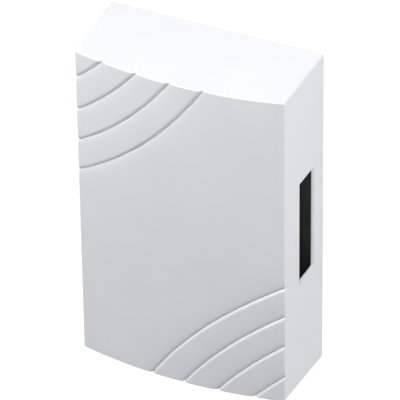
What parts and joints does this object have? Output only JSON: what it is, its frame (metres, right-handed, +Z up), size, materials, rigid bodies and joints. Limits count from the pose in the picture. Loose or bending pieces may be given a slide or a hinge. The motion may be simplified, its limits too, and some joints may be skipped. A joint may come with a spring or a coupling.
{
  "type": "doorbell chime box",
  "caption": "Wall-mounted two-tone door chime: a bowed white cover over a solenoid plunger that strikes steel tone bars, with sound slots in the sides.",
  "frame": {"origin": "middle of the back plate's face that meets the wall", "axes": "+X to the right seen from in front, +Y into the wall, +Z up"},
  "size_m": [0.12, 0.054, 0.195],
  "materials": {
    "cover_plastic": "white moulded plastic, fine satin",
    "plate_plastic": "black moulded plastic",
    "bar_steel": "rolled steel, satin",
    "grommet_rubber": "soft black rubber",
    "zinc_steel": "bright zinc plate",
    "yoke_steel": "zinc plated strip steel",
    "nylon": "natural nylon",
    "coil_copper": "enamelled copper wire",
    "core_steel": "turned soft iron",
    "spring_steel": "bright spring wire",
    "terminal_plastic": "off-white moulded plastic",
    "clamp_brass": "machined brass",
    "lead_black": "black wire insulation",
    "lead_red": "red wire insulation"
  },
  "bodies": {
    "base": {"back_plate": "plate_plastic", "tone_bar_high": "bar_steel", "tone_bar_low": "bar_steel", "grommet_high_top": "grommet_rubber", "grommet_high_bottom": "grommet_rubber", "grommet_low_top": "grommet_rubber", "grommet_low_bottom": "grommet_rubber", "bar_washers": "zinc_steel", "bar_screws": "zinc_steel", "solenoid_yoke": "yoke_steel", "yoke_screws": "zinc_steel", "coil_bobbin": "nylon", "coil_winding": "coil_copper", "return_spring": "spring_steel", "terminal_block": "terminal_plastic", "terminal_clamps": "clamp_brass", "terminal_screws": "zinc_steel", "block_screws": "zinc_steel", "coil_lead_left": "lead_black", "coil_lead_right": "lead_red"},
    "cover": {"front_cover": "cover_plastic"},
    "plunger": {"plunger_core": "core_steel", "striker_high": "nylon", "striker_low": "nylon"}
  },
  "joints": [
    {"name": "cover_pull", "type": "slide", "parent": "base", "child": "cover", "axis": [0, -1, 0], "range_m": [0, 0.06]},
    {"name": "plunger_slide", "type": "slide", "parent": "base", "child": "plunger", "axis": [1, 0, 0], "range_m": [-0.0018, 0.0063], "stiffness_N_per_m": 220, "deforming": ["return_spring"]}
  ]
}
